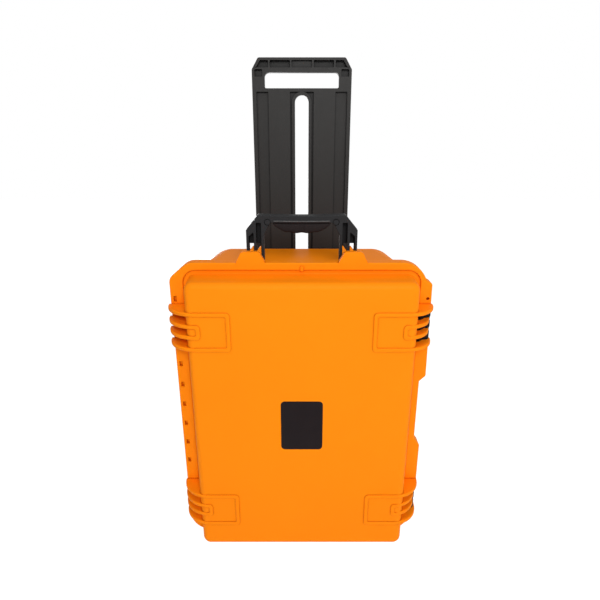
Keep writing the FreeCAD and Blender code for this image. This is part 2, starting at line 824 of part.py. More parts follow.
def make_top_brackets():
    """The four prongs on top of the base that carry the top handle."""
    brackets = []
    for prong in top_prongs():
        brackets += both_sides(prong.cut([base_outside(), top_pivot(0.0)]))
    return brackets


def make_side_brackets():
    """The two ears beside the latches that carry the side handle."""
    return [cut(ear, base_outside(), rim(y_part, y_base_rim), side_pivot(0.0)) for ear in side_ears()]


def housing_box(side, grow):
    """The box round one wheel, grown by a wall."""
    near = wheel_x - wheel_width / 2 - well_side_gap - grow
    far = wheel_x + wheel_width / 2 + well_side_gap + grow
    front = wheel_y - wheel_radius - well_gap - grow
    top = 2 * wheel_radius + well_gap + grow
    x = (near, far) if side > 0 else (-far, -near)
    return x, front, top


def wheel_housing(side):
    x, front, top = housing_box(side, housing_wall)
    housing = block(x, (front, y_back - well_lip), (tub_bottom - 4, top))
    return soften(housing, 6, runs_along("X"))


def housing_room(side):
    """The part of the inside that a wheel housing takes up."""
    x, front, top = housing_box(side, housing_wall)
    far = (x[0], tub_half + 1) if side > 0 else (-tub_half - 1, x[1])
    return block(far, (front, y_back), (0, top))


def wheel_well(side):
    x, front, top = housing_box(side, 0)
    well = block(x, (front, y_back + 1), (-1, top))
    return [well, axle(side, 0.0)]


def axle(side, grow):
    inner = wheel_x - wheel_width / 2 - well_side_gap - housing_wall + 0.5
    length = wheel_width + 2 * well_side_gap + 2 * housing_wall + 3
    start = inner if side > 0 else -inner - length
    return rod(axle_radius + grow, point(start, wheel_y, wheel_radius), ALONG_X, length)


def foot_pad(side):
    x = (side * foot_x - foot_half, side * foot_x + foot_half)
    pad = block(x, (y_base_rim - 1, y_base_rim + foot_long), (foot_thick, tub_bottom + 2))
    return soften(pad, 5, runs_along("Z"))


def make_foot(side):
    x = (side * foot_x - foot_half + foot_edge, side * foot_x + foot_half - foot_edge)
    pad = block(x, (y_base_rim + foot_edge, y_base_rim + foot_long - foot_edge), (0, foot_thick))
    return soften(pad, 4, runs_along("Z"))


def top_pivot(grow):
    reach = top_handle_half + 2
    return rod(top_pin_radius + grow, point(-reach, top_y, top_z), ALONG_X, 2 * reach)


def leg_pockets():
    """The two pockets across one leg of the top handle, as (near, far) distances from the centre line."""
    clear = (top_handle_half - top_leg_inner - 3 * top_leg_rib) / 2
    inner = top_leg_inner + top_leg_rib
    outer = inner + clear + top_leg_rib
    return [(inner, inner + clear), (outer, outer + clear)]


def top_prongs():
    """The base's prongs that stand in a leg's pockets and carry its pin."""
    prongs = []
    y = (top_y - top_leg_radius, top_y + top_leg_radius - 1)
    for near, far in leg_pockets():
        x = (near + prong_gap, far - prong_gap)
        tip = top_z + prong_rise
        body = prism(
            [(y[0] + 1, tub_top - 2, 0), (y[0] + 1, top_z + 8, 6), (top_y - 3, tip, 2), (top_y + 3, tip, 2),
             (y[1], top_z + 8, 6), (y[1], tub_top - 2, 0)],
            "yz", x[0], x[1],
        )
        slope = prism([(x[0] + 1, tip + 1, 0), (x[1] + 1, tip + 1, 0), (x[1] + 1, tip - 9, 0)], "xz",
                      y[0] - 5, y[1] + 5)
        prongs.append(body.cut(slope))
    return prongs


def make_top_handle_frame():
    low = top_z - top_leg_radius
    y = (top_y - top_handle_depth / 2, top_y + top_handle_depth / 2)
    outer = top_handle_half
    outside = [
        (-outer, low, 0), (-outer, top_handle_top - top_chamfer_z, 3),
        (-outer + top_chamfer_x, top_handle_top, 4), (0, top_handle_top - top_handle_dip, 1000),
        (outer - top_chamfer_x, top_handle_top, 4),
        (outer, top_handle_top - top_chamfer_z, 3), (outer, low, 0),
    ]
    under = top_handle_top - top_bar
    inside = [
        (top_leg_inner, low, 0), (top_leg_inner, under - top_inner_z, 4), (top_leg_inner - top_inner_x, under, 5),
        (-top_leg_inner + top_inner_x, under, 5), (-top_leg_inner, under - top_inner_z, 4), (-top_leg_inner, low, 0),
    ]
    frame = prism(outside + inside, "xz", y[0], y[1])

    def on_face(edge):
        return (flat_at("Y", y[0])(edge) or flat_at("Y", y[1])(edge)) and edge.BoundBox.ZMin > low + 1

    frame = soften(frame, 1.5, on_face)
    tools = [top_pivot(run_fit)]
    floor = y[1] - 5
    for i, (near, far) in enumerate(leg_pockets()):
        ceiling = top_handle_top - (14 if i == 0 else 30)
        slant = 0 if i == 0 else (far - near)
        pocket = prism(
            [(near, low - 1, 0), (far, low - 1, 0), (far, ceiling - slant, 1.5), (near, ceiling, 1.5)],
            "xz", y[0] - 1, floor,
        )
        through = block((near, far), (y[0] - 1, y[1] + 1), (low - 1, top_z + prong_rise + 4))
        tools += both_sides(pocket) + both_sides(through)
    boss_x = top_leg_inner - 7.4
    boss_z = top_handle_top - 13
    ring = rod(6.2, point(boss_x, y[0] - 1, boss_z), ALONG_Y, 3).cut(
        rod(4.8, point(boss_x, y[0] - 2, boss_z), ALONG_Y, 5))
    tools += both_sides(ring)
    shape = cut(frame, *tools)
    corner_cut = []
    for side in (-1, 1):
        x = (side * outer - 40, side * outer + 40)
        bottom = block(x, (y[0] - 1, y[1] + 1), (low - 1, top_z))
        keep = rod(top_leg_radius, point(x[0], top_y, top_z), ALONG_X, 80)
        corner_cut.append(bottom.cut(keep))
    return cut(shape, *corner_cut)


def make_top_handle_grip():
    y = (top_y - top_handle_depth / 2 + 2, top_y + top_handle_depth / 2 + 1.5)
    edge = top_leg_inner - grip_in
    top = top_handle_top - top_bar
    profile = Part.Wire([
        Part.Arc(point(-edge, y[0], top), point(0, y[0], top - grip_drop), point(edge, y[0], top)).toShape(),
        Part.LineSegment(point(edge, y[0], top), point(-edge, y[0], top)).toShape(),
    ])
    grip = Part.Face(profile).extrude(ALONG_Y * (y[1] - y[0]))
    grip = soften(grip, 2.5, lambda e: e.Curve.TypeId == "Part::GeomCircle")
    pad = block((-10, 10), (y[0] - 0.8, y[0] + 3), (top - 16, top - 8))
    return fuse(grip, pad)


def side_pivot(grow):
    reach = side_half + side_ear + 1
    return rod(side_pin_radius + grow, point(side_x, side_y, notch_centre - reach), ALONG_Z, 2 * reach)


def side_ears():
    ears = []
    for side in (-1, 1):
        near = notch_centre + side * (side_half + side_ear_gap)
        far = near + side * side_ear
        ear = prism(
            [(tub_half - 2, y_base_rim - 1, 0), (side_x + 6.5, y_base_rim - 1, 0), (side_x + 6.5, side_y + 6, 6),
             (side_x - 6, side_y + 12, 6), (tub_half - 2, side_y + 16, 0)],
            "xy", min(near, far), max(near, far),
        )
        ears.append(ear)
    return ears


def side_grip_block(x, y, z_over):
    """A box along the side handle's bar, z_over longer than the grip at each end."""
    return block(x, y, (notch_centre - grip_half - z_over, notch_centre + grip_half + z_over))


def side_core():
    """The part of the bar that the grip is moulded round."""
    x = (side_x - side_thick / 2 + grip_core, side_x + side_thick / 2 - grip_core)
    y_far = side_y + side_reach
    return side_grip_block(x, (y_far - side_bar + grip_core, y_far - grip_core), 1)


def make_side_handle_frame():
    x = (side_x - side_thick / 2, side_x + side_thick / 2)
    y_near = side_y - side_thick
    y_far = side_y + side_reach
    y_bar = y_far - side_bar
    low = notch_centre - side_half
    high = notch_centre + side_half
    frame = prism([(y_near, low, 0), (y_far, low, 12), (y_far, high, 12), (y_near, high, 0)], "yz", x[0], x[1])
    hollow = prism(
        [(y_near - 1, low + side_arm, 0), (y_bar, low + side_arm, 6), (y_bar, high - side_arm, 6),
         (y_near - 1, high - side_arm, 0)],
        "yz", x[0] - 1, x[1] + 1,
    )
    ends = block((x[0] - 1, x[1] + 1), (y_near - 1, side_y), (low - 1, high + 1))
    heel = rod(side_thick / 2, point(side_x, side_y, low - 1), ALONG_Z, high - low + 2)
    seat = side_grip_block((x[0] - 1, x[1] + 1), (y_bar - 1, y_far + 1), 0)
    frame = cut(frame, hollow, ends.cut(heel), seat)
    return cut(fuse(frame, side_core()), side_pivot(run_fit))


def make_side_handle_grip():
    x = (side_x - side_thick / 2 - grip_cover, side_x + side_thick / 2 + grip_cover)
    y = (side_y + side_reach - side_bar - grip_cover, side_y + side_reach + grip_cover)
    grip = soften(side_grip_block(x, y, 0), 5, runs_along("Z"))
    return grip.cut(side_core())


def make_trolley_plate():
    y = (y_plate, y_plate_back)
    plate = prism(
        [(-plate_half, plate_bottom, 6), (-plate_half, plate_top - plate_corner_z, 5),
         (-plate_half + plate_corner_x, plate_top, 5), (plate_half - plate_corner_x, plate_top, 5),
         (plate_half, plate_top - plate_corner_z, 5), (plate_half, plate_bottom, 6)],
        "xz", y[0], y[1],
    )
    plate = soften(plate, 1.2, lambda e: flat_at("Y", y[0])(e) or flat_at("Y", y[1])(e))
    deep = y[0] + pocket_deep
    bottom = plate_bottom + 14
    low_end = (-hand_half, hand_low, 4)
    tools = [
        prism([low_end, (hand_half, hand_low, 4), (hand_half, hand_high, 9), (-hand_half, hand_high, 9)],
              "xz", y[0] - 1, y[1] + 1),
        prism(rectangle((-slot_half, slot_half), (slot_bottom, slot_top), slot_half - 0.01), "xz", y[0] - 1, y[1] + 1),
    ]
    outer = prism(rectangle((land_outer, plate_half - edge_flange), (bottom, pocket_top), 1.5), "xz", y[0] - 1, deep)
    tools += both_sides(outer)
    centre = prism(rectangle((-land_inner, land_inner), (bottom, pocket_top), 1.5), "xz", y[0] - 1, deep)
    rim_out = slot_half + slot_rim
    keep = prism(rectangle((-rim_out, rim_out), (slot_bottom - slot_rim, slot_top + slot_rim), rim_out - 0.01),
                 "xz", y[0] - 2, deep + 1)
    bridge = block((-3.5, 3.5), (y[0] - 2, deep + 1), (slot_top, pocket_top + 2))
    tools.append(centre.cut([keep, bridge]))
    low = hand_high + grip_land
    high = plate_top - grip_edge
    for left, right in zip(grip_pockets, grip_pockets[1:]):
        floor = y[1] - (release_deep + 2 if left < 0 < right else 4)
        tools.append(prism(rectangle((left + grip_rib, right - grip_rib), (low, high), 2), "xz", y[0] - 1, floor))
    corner_x = grip_pockets[3] + grip_rib
    corner = prism(
        [(corner_x, low, 2), (plate_half - 6, low, 2), (plate_half - 6, plate_top - 23, 2),
         (plate_half - 17, high, 2), (corner_x, high, 2)],
        "xz", y[0] - 1, y[1] - 4,
    )
    side = prism(rectangle((hand_half + 4, plate_half - 5.5), (hand_high - 8, hand_high + 6), 2),
                 "xz", y[0] - 1, y[0] + 8)
    tools += both_sides(corner) + both_sides(side)
    tools.append(trolley_button_block(button_gap, y_plate_back - release_deep, y_plate_back + 1))
    return cut(plate, *tools)


def trolley_button_block(grow, y_low, y_high):
    """The release button's outline in the back of the grip."""
    reach = release_high / 2 + grow
    return block((-release_half - grow, release_half + grow), (y_low, y_high),
                 (release_middle - reach, release_middle + reach))


def make_trolley_button():
    button = trolley_button_block(0, y_plate_back - release_deep + release_spring, y_plate_back + release_proud)
    return soften(button, 0.8, flat_at("Y", y_plate_back + release_proud))


def boss_outline(inset):
    """The guide boss's outline: it fills the slot's lower end when the trolley is out."""
    reach = slot_half - boss_gap - inset
    low = slot_bottom + boss_gap + inset
    high = slot_top - trolley_travel - boss_gap - inset
    radius = min(reach, (high - low) / 2) - 0.01
    return rectangle((-reach, reach), (low, high), radius)


def boss_pad():
    return prism(boss_outline(2), "xz", y_tub_back - wall, y_tub_back + boss_seat)


def make_guide_boss():
    return cut(prism(boss_outline(0), "xz", y_tub_back + boss_seat, y_cover), *boss_screw_holes())


def boss_screw_places():
    middle = (slot_bottom + slot_top - trolley_travel) / 2
    return [(0, middle - guide_screw_half), (0, middle + guide_screw_half)]


def boss_screw_holes():
    return [rod(screw_shank, point(x, y_tub_back - wall - 1, z), ALONG_Y, 40) for x, z in boss_screw_places()]


def cover_screw_places():
    x = plate_half + plate_side_gap + rail_width / 2
    z_low = cover_low + cover_screw_in
    z_high = cover_top - cover_screw_in
    return [(side * x, z) for side in (-1, 1) for z in (z_low, (z_low + z_high) / 2, z_high)]


def cover_screw_holes():
    return [rod(screw_shank, point(x, y_cover - 12, z), ALONG_Y, 40) for x, z in cover_screw_places()]


def make_back_cover():
    reach = plate_half + plate_side_gap + rail_width - 1
    cover = prism(rectangle((-reach, reach), (cover_low, cover_top), 8), "xz", y_cover, y_back)
    tools = cover_screw_holes() + boss_screw_holes()
    for x, z in cover_screw_places() + boss_screw_places():
        tools.append(Part.makeCone(screw_shank, screw_head, screw_head - screw_shank,
                                   point(x, y_back - screw_head + screw_shank, z), ALONG_Y))
    return cut(cover, *tools)


def screw(x, z, length):
    """A countersunk screw whose head lies flush with the back."""
    head_y = y_back - screw_head + screw_shank
    head = Part.makeCone(screw_shank, screw_head, screw_head - screw_shank, point(x, head_y, z), ALONG_Y)
    shank = rod(screw_shank, point(x, head_y - length, z), ALONG_Y, length)
    slot = block((x - 2.6, x + 2.6), (y_back - screw_recess, y_back + 1), (z - 0.5, z + 0.5))
    cross = block((x - 0.5, x + 0.5), (y_back - screw_recess, y_back + 1), (z - 2.6, z + 2.6))
    return cut(fuse(head, shank), slot, cross)


def ring(outer, inner, x, width, y, z):
    return rod(outer, point(x, y, z), ALONG_X, width).cut(rod(inner, point(x - 1, y, z), ALONG_X, width + 2))


def make_tyre(side):
    x = side * wheel_x - wheel_width / 2
    tyre = rod(wheel_radius, point(x, wheel_y, wheel_radius), ALONG_X, wheel_width)
    tyre = soften(tyre, tyre_soft, lambda e: e.Curve.TypeId == "Part::GeomCircle")
    return tyre.cut(rod(wheel_radius - tread, point(x - 1, wheel_y, wheel_radius), ALONG_X, wheel_width + 2))


def make_hub(side):
    x = side * wheel_x - wheel_width / 2 + 1
    width = wheel_width - 2
    hub = ring(wheel_radius - tread, bearing_radius, x, width, wheel_y, wheel_radius)
    dish_outer = wheel_radius - tread - hub_wall
    tools = []
    for start in (x - 1, x + width - hub_dish):
        tools.append(ring(dish_outer, bearing_radius + hub_wall, start, hub_dish + 1, wheel_y, wheel_radius))
    return cut(hub, *tools)


def make_bearings(side):
    x = side * wheel_x - wheel_width / 2 + 1
    far = x + wheel_width - 2 - bearing_width
    inner = axle_radius + run_fit
    return [ring(bearing_radius, inner, start, bearing_width, wheel_y, wheel_radius) for start in (x, far)]


def make_spacers(side):
    """Two washers that keep the wheel in the middle of its well."""
    near = side * wheel_x - wheel_width / 2 - well_side_gap
    far = side * wheel_x + wheel_width / 2 + spacer_gap - 1
    width = well_side_gap - spacer_gap + 1
    outer = axle_radius + spacer_wall
    inner = axle_radius + run_fit
    return [ring(outer, inner, start, width, wheel_y, wheel_radius) for start in (near, far)]


def make_lid_foam():
    inset = wall + foam_gap + lid_draft
    radius = tub_corner - wall - foam_gap
    return prism(tub_outline(inset, radius, radius), "xz", y_face + wall + foam_seat, y_part - lid_foam_free)


def foam_block(y_low, y_high):
    """Foam that fills the base between two depths, clear of the wheel housings."""
    foam = base_tub(wall + foam_gap, y_low, y_high)
    for side in (-1, 1):
        x, front, top = housing_box(side, housing_wall + housing_foam)
        far = (x[0], tub_half + 1) if side > 0 else (-tub_half - 1, x[1])
        foam = foam.cut(block(far, (front, y_back), (0, top)))
    return foam


def foam_pockets():
    """Each pocket's (low, high) across, (low, high) up, and depth."""
    left = -pocket_half
    battery_x = (pocket_half - battery_width, pocket_half)
    controller_x = (left, battery_x[0] - 30)
    charger_x = (left + 30, pocket_half - 30)
    battery_gap = (middle_row - 2 * battery_height) / 3
    first = middle_low + battery_gap
    second = first + battery_height + battery_gap
    return [
        ((left, pocket_half), (drone_low, drone_high), drone_deep),
        (controller_x, (middle_low, middle_high), controller_deep),
        (battery_x, (first, first + battery_height), controller_deep),
        (battery_x, (second, second + battery_height), controller_deep),
        (charger_x, (charger_low, charger_low + charger_height), charger_deep),
    ]


def make_foam_insert():
    start = y_part + insert_free
    insert = foam_block(start, foam_back - foam_floor - foam_seat)
    tools = [prism(rectangle(x, z, pocket_corner), "xz", start - 1, start + deep) for x, z, deep in foam_pockets()]
    return cut(insert, *tools)


def make_valve_body():
    base_x = tub_half + 4
    top_x = base_x + valve_cap
    cap = rod(valve_radius, point(base_x, valve_at, notch_centre), ALONG_X, valve_cap)
    cap = soften(cap, 1.5, flat_at("X", top_x))
    stem_x = tub_half - wall - 2
    stem = rod(valve_stem, point(stem_x, valve_at, notch_centre), ALONG_X, base_x + 1 - stem_x)
    ring_radius = valve_radius + 0.6
    grips = []
    for i in range(valve_grips):
        turn = 2 * math.pi * i / valve_grips
        start = point(base_x + 2, valve_at + ring_radius * math.cos(turn), notch_centre + ring_radius * math.sin(turn))
        grips.append(rod(valve_grip, start, ALONG_X, valve_cap))
    return cut(fuse(cap, stem), *grips)


def make_valve_seal():
    return ring(valve_radius - 1.5, valve_stem + run_fit, tub_half + 2, 2, valve_at, notch_centre)


def make_top_pins():
    """One pin through each leg of the top handle."""
    length = top_handle_half - top_leg_inner - 0.6
    starts = (top_leg_inner + 0.3, -top_handle_half + 0.3)
    return [rod(top_pin_radius, point(x, top_y, top_z), ALONG_X, length) for x in starts]


def make_side_pins():
    """One pin through each arm of the side handle into its ear."""
    length = side_arm + side_ear + 0.3
    low = notch_centre - side_half - side_ear - 0.5
    high = notch_centre + side_half - side_arm + 0.2
    return [rod(side_pin_radius, point(side_x, side_y, z), ALONG_Z, length) for z in (low, high)]


# Every piece goes to its own file
os.makedirs("parts", exist_ok=True)
save("lid_shell", make_lid_shell())
save("base_shell", make_base_shell())
save("base_rim", *make_base_rim())
save("top_handle_brackets", *make_top_brackets())
save("side_handle_brackets", *make_side_brackets())
save("hinge_pin", rod(hinge_pin_radius, point(hinge_x, hinge_y, first_knuckle - knuckle_length / 2), ALONG_Z,
                      (knuckle_count - 1) * knuckle_pitch + knuckle_length))
save("lid_gasket", seal_ring(0.1, seal_depth))
save("lid_badge", prism(rectangle((-badge_half_width + badge_sunk, badge_half_width - badge_sunk),
                                  (badge_low + badge_sunk, badge_high - badge_sunk), badge_corner - badge_sunk),
                        "xz", y_face - badge_sunk, y_face + badge_thick - badge_sunk))
for name, centre in (("upper", upper_group), ("lower", lower_group)):
    spring_length = 4.2 + button_travel - spring_free
    save("latch_lever_" + name, make_latch_lever(centre))
    save("latch_button_" + name, make_latch_button(centre))
    save("latch_spring_" + name, coil(latch_spring_radius, latch_spring_wire, spring_length,
                                       latch_spring_start(centre), ALONG_X))
    save("latch_pin_" + name, latch_pin(centre))
save("top_handle_frame", make_top_handle_frame())
save("top_handle_grip", make_top_handle_grip())
save("top_handle_pins", *make_top_pins())
save("side_handle_frame", make_side_handle_frame())
save("side_handle_grip", make_side_handle_grip())
save("side_handle_pins", *make_side_pins())
save("trolley_plate", make_trolley_plate())
save("trolley_button", make_trolley_button())
save("trolley_button_spring", coil(release_spring_radius, release_spring_wire, release_spring - spring_free,
                                   point(0, y_plate_back - release_deep, release_middle), ALONG_Y))
save("trolley_guide_boss", make_guide_boss())
save("trolley_back_cover", make_back_cover())
save("trolley_cover_screws", *[screw(x, z, screw_deep) for x, z in cover_screw_places()])
guide_screw = cover_thick + cover_gap + plate_thick + plate_gap + wall / 2 - (screw_head - screw_shank)
save("trolley_guide_screws", *[screw(x, z, guide_screw) for x, z in boss_screw_places()])
for side, name in ((-1, "left"), (1, "right")):
    save("wheel_tyre_" + name, make_tyre(side))
    save("wheel_hub_" + name, make_hub(side))
    save("wheel_bearings_" + name, *make_bearings(side))
    save("wheel_axle_" + name, axle(side, 0.0))
save("wheel_spacers", *make_spacers(-1), *make_spacers(1))
save("rubber_feet", make_foot(-1), make_foot(1))
save("purge_valve_body", make_valve_body())
save("purge_valve_seal", make_valve_seal())
save("base_foam_floor", foam_block(foam_back - foam_floor, foam_back))
save("base_foam_insert", make_foam_insert())
save("lid_foam", make_lid_foam())
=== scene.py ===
import math

import bmesh
import bpy
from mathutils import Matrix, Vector, noise


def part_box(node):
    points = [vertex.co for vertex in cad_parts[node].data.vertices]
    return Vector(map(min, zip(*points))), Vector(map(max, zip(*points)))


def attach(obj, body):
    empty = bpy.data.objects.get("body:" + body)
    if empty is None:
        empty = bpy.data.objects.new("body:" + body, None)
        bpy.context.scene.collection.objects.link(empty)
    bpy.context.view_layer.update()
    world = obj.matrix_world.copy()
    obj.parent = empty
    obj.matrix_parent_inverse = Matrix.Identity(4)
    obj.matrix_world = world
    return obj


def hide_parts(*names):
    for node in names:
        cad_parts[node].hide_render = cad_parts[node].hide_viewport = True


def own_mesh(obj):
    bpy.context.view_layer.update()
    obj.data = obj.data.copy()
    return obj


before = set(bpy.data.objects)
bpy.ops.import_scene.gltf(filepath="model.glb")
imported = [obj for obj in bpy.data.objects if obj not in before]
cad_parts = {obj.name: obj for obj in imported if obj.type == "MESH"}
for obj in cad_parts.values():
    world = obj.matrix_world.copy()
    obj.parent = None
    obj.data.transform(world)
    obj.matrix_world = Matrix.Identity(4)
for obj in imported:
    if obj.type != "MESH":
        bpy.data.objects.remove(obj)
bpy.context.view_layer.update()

# ---- Camera ----
# It stands in front of the case and a little below its extended trolley, and looks down on the lid. The lens
# is shifted slightly, so that the case sits as it should in the picture.

eye = bpy.data.cameras.new("eye")
eye.lens = 28.68
eye.sensor_width = 36.0
eye.shift_x = -0.0030
eye.shift_y = 0.0052
camera = bpy.data.objects.new("camera", eye)
bpy.context.collection.objects.link(camera)
camera.location = (0.002, -0.9368, 0.8264)
look_down = 18.98
camera.rotation_euler = (math.radians(90 - look_down), 0, 0)
bpy.context.scene.camera = camera
bpy.context.scene.view_settings.view_transform = "Standard"


# ---- Studio ----
# A white room with a large soft lamp in front, weaker ones at each side and overhead, and a low one behind.
# A plain pale floor shows only the object's shadow.


class Wire:
    """An output socket in one node tree; sums on it add Math nodes."""

    def __init__(self, tree, socket=None):
        self.tree = tree
        self.socket = socket

    def node(self, kind, settings=None, sockets=None, out=0):
        """Add a node: its settings first, then the values or links of its sockets."""
        made = self.tree.nodes.new(kind)
        for name, value in (settings or {}).items():
            setattr(made, name, value)
        for key, value in (sockets or {}).items():
            if isinstance(value, Wire):
                self.tree.links.new(value.socket, made.inputs[key])
            else:
                made.inputs[key].default_value = value
        return Wire(self.tree, made.outputs[out])

    def maths(self, operation, first, second=0.0):
        return self.node("ShaderNodeMath", {"operation": operation}, {0: first, 1: second})

    def mix(self, share, first, second):
        """A colour between two colours."""
        return self.node("ShaderNodeMix", {"data_type": "RGBA"}, {0: share, 6: first, 7: second}, 2)

    def __add__(self, other):
        return self.maths("ADD", self, other)

    def __sub__(self, other):
        return self.maths("SUBTRACT", self, other)

    def __rsub__(self, other):
        return self.maths("SUBTRACT", other, self)

    def __mul__(self, other):
        return self.maths("MULTIPLY", self, other)

    __radd__ = __add__
    __rmul__ = __mul__


def seen_directly(tree):
    """1 for rays that show the room itself: from the camera, in a gloss, or through glass."""
    start = Wire(tree)
    rays = [start.node("ShaderNodeLightPath", out="Is " + kind + " Ray")
            for kind in ("Camera", "Glossy", "Transmission")]
    return start.maths("MINIMUM", rays[0] + rays[1] + rays[2], 1.0)


room_light = 0.24
room = bpy.data.worlds.new("room")
room.use_nodes = True
bpy.context.scene.world = room
backdrop = room.node_tree.nodes["Background"]
backdrop.inputs["Color"].default_value = (1.0, 1.0, 1.0, 1.0)
room_strength = room_light + (1 - room_light) * seen_directly(room.node_tree)
room.node_tree.links.new(room_strength.socket, backdrop.inputs["Strength"])

lamp_target = Vector((0.0, 0.0, 0.4))
for lamp_name, lamp_place, lamp_size, lamp_power in (
    ("front_lamp", (0.35, -2.4, 1.85), 0.9, 47.0),
    ("left_lamp", (-2.4, -1.2, 1.0), 1.2, 1.5),
    ("right_lamp", (2.4, -1.0, 1.0), 1.2, 8.0),
    ("top_lamp", (0.0, -0.85, 2.9), 0.8, 11.0),
    ("back_lamp", (-0.5, 2.6, 0.32), 0.5, 12.0),
):
    lamp = bpy.data.lights.new(lamp_name, "AREA")
    lamp.size = lamp_size
    lamp.energy = lamp_power
    holder = bpy.data.objects.new(lamp_name, lamp)
    bpy.context.collection.objects.link(holder)
    holder.location = lamp_place
    aim = lamp_target - Vector(lamp_place)
    holder.rotation_euler = aim.to_track_quat("-Z", "Y").to_euler()

floor_reach = 6.0
floor_drop = 0.0005
floor_mesh = bpy.data.meshes.new("floor")
floor_corners = [(x * floor_reach, y * floor_reach, -floor_drop)
                 for x, y in ((-1, -1), (1, -1), (1, 1), (-1, 1))]
floor_mesh.from_pydata(floor_corners, [], [(0, 1, 2, 3)])
floor = bpy.data.objects.new("floor", floor_mesh)
bpy.context.collection.objects.link(floor)
floor_paint = bpy.data.materials.new("pale_floor")
floor_paint.use_nodes = True
floor_tree = floor_paint.node_tree
floor_tree.nodes.clear()
ground = Wire(floor_tree)
matt = ground.node("ShaderNodeBsdfDiffuse", sockets={"Color": (0.92, 0.92, 0.92, 1.0)})
glow = ground.node("ShaderNodeEmission", sockets={"Color": (1.0, 1.0, 1.0, 1.0), "Strength": 1.3})
glow_share = 0.74
shown = seen_directly(floor_tree)
blend = ground.node("ShaderNodeMixShader", sockets={0: glow_share * shown, 1: matt, 2: glow})
floor_out = floor_tree.nodes.new("ShaderNodeOutputMaterial")
floor_tree.links.new(blend.socket, floor_out.inputs["Surface"])
floor_mesh.materials.append(floor_paint)


# ---- Base and lid shells ----
# Two deep trays of hard orange plastic, injection moulded in one piece each with their rims, ribs, fins,
# hinge knuckles and wheel housings. The skin is satin with a very fine grain.


def finish(name):
    """A new node material: its shader, a start for its nodes, and the object's own coordinates."""
    material = bpy.data.materials.new(name)
    material.use_nodes = True
    start = Wire(material.node_tree)
    place = start.node("ShaderNodeTexCoord", out="Object")
    return material, material.node_tree.nodes["Principled BSDF"], start, place


def connect(shader, **sockets):
    """Set a shader's sockets, named with _ for a space."""
    for name, value in sockets.items():
        socket = shader.inputs[name.replace("_", " ")]
        if isinstance(value, Wire):
            value.tree.links.new(value.socket, socket)
        else:
            socket.default_value = value


def cloud(start, place, scale, detail=2.0, rough=0.5):
    """Soft noise between 0 and 1."""
    return start.node("ShaderNodeTexNoise", sockets={"Vector": place, "Scale": scale, "Detail": detail,
                                                     "Roughness": rough})


def painted_shade_mask(start, reach):
    """0 on open skin, towards 1 where the skin is shut in by its own walls within a reach: the mask for
    painted shade.
    """
    openness = start.node("ShaderNodeAmbientOcclusion", {"samples": 6, "only_local": True},
                          {"Distance": reach}, "AO")
    return 1 - openness


hollow_shade_reach = 0.022
pit_shade_reach = 0.004
pit_shade = 0.6


def moulded(name, colour, shade_and_flow_colour, rough, shine, grain_scale, grain_depth):
    """Moulded plastic: fine grain, faint flow marks, and painted shade: a deeper colour in its hollows and
    finest pits, where shade falls.
    """
    material, shader, start, place = finish(name)
    hollow_shade = painted_shade_mask(start, hollow_shade_reach)
    pit_shade_mask = painted_shade_mask(start, pit_shade_reach)
    flow = cloud(start, place, 5.0, 3.0)
    scuffs = cloud(start, place, 60.0, 5.0, 0.7)
    grain = cloud(start, place, grain_scale, 2.0, 0.6)
    # Painted shade: hollows and fine pits, found by occlusion, take a darker, redder colour that stands in
    # for shade and bounced light there. The same colour also tones the faint flow marks.
    tone = start.mix(start.maths("MAXIMUM", hollow_shade * 1.2 - 0.32, 0.0), colour, shade_and_flow_colour)
    tone = start.mix((flow - 0.5) * 0.22 + 0.05, tone, shade_and_flow_colour)
    pit_shade_colour = tuple(c * pit_shade for c in shade_and_flow_colour[:3]) + (1.0,)
    tone = start.mix(start.maths("MINIMUM", pit_shade_mask * 1.5, 0.9), tone, pit_shade_colour)
    bump = start.node("ShaderNodeBump", sockets={"Strength": 0.35, "Distance": grain_depth, "Height": grain})
    worn = rough + (scuffs - 0.5) * 0.16
    connect(shader, Base_Color=tone, Roughness=worn, Specular_IOR_Level=shine, Normal=bump)
    return material


def dress(material, *nodes):
    """Give CAD pieces their finish."""
    for node in nodes:
        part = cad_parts[node]
        part.data.materials.clear()
        part.data.materials.append(material)


# Each moulded finish's second colour is its painted shade in hollows and pits, and also the tone of its flow
# marks.
orange_plastic = moulded("orange_plastic", (1.0, 0.264, 0.004, 1.0), (0.84, 0.145, 0.001, 1.0), 0.52, 0.05,
                         1500.0, 0.00006)
dress(orange_plastic, "base_shell", "base_rim", "top_handle_brackets", "side_handle_brackets", "lid_shell")


# ---- Foam linings ----
# Soft dark foam: an egg-crate sheet glued in the lid, a flat sheet at the bottom of the base, and a thick
# block with cut pockets for a drone and its things, pushed in on top of that sheet.

foam_cell = 0.004
crate_pitch = 0.030
crate_depth = 0.011
crate_border = 0.012
foam_top = 0.010
foam_roundings = 3
cut_depth = 0.0004
cut_wander = 0.0006
cut_waves = 14


def foam_finish():
    """Open-cell foam: tiny pores and a soft sheen."""
    material, shader, start, place = finish("foam")
    pores = start.node("ShaderNodeTexVoronoi", sockets={"Vector": place, "Scale": 420.0})
    patches = cloud(start, place, 24.0, 4.0)
    tone = start.mix(patches, (0.016, 0.016, 0.018, 1.0), (0.038, 0.038, 0.041, 1.0))
    tone = start.mix(start.maths("MINIMUM", pores * 1.2, 1.0), (0.008, 0.008, 0.009, 1.0), tone)
    bump = start.node("ShaderNodeBump", sockets={"Strength": 0.8, "Distance": 0.0008, "Height": pores})
    connect(shader, Base_Color=tone, Roughness=0.95, Specular_IOR_Level=0.15, Sheen_Weight=0.15, Normal=bump)
    return material


foam_skin = foam_finish()


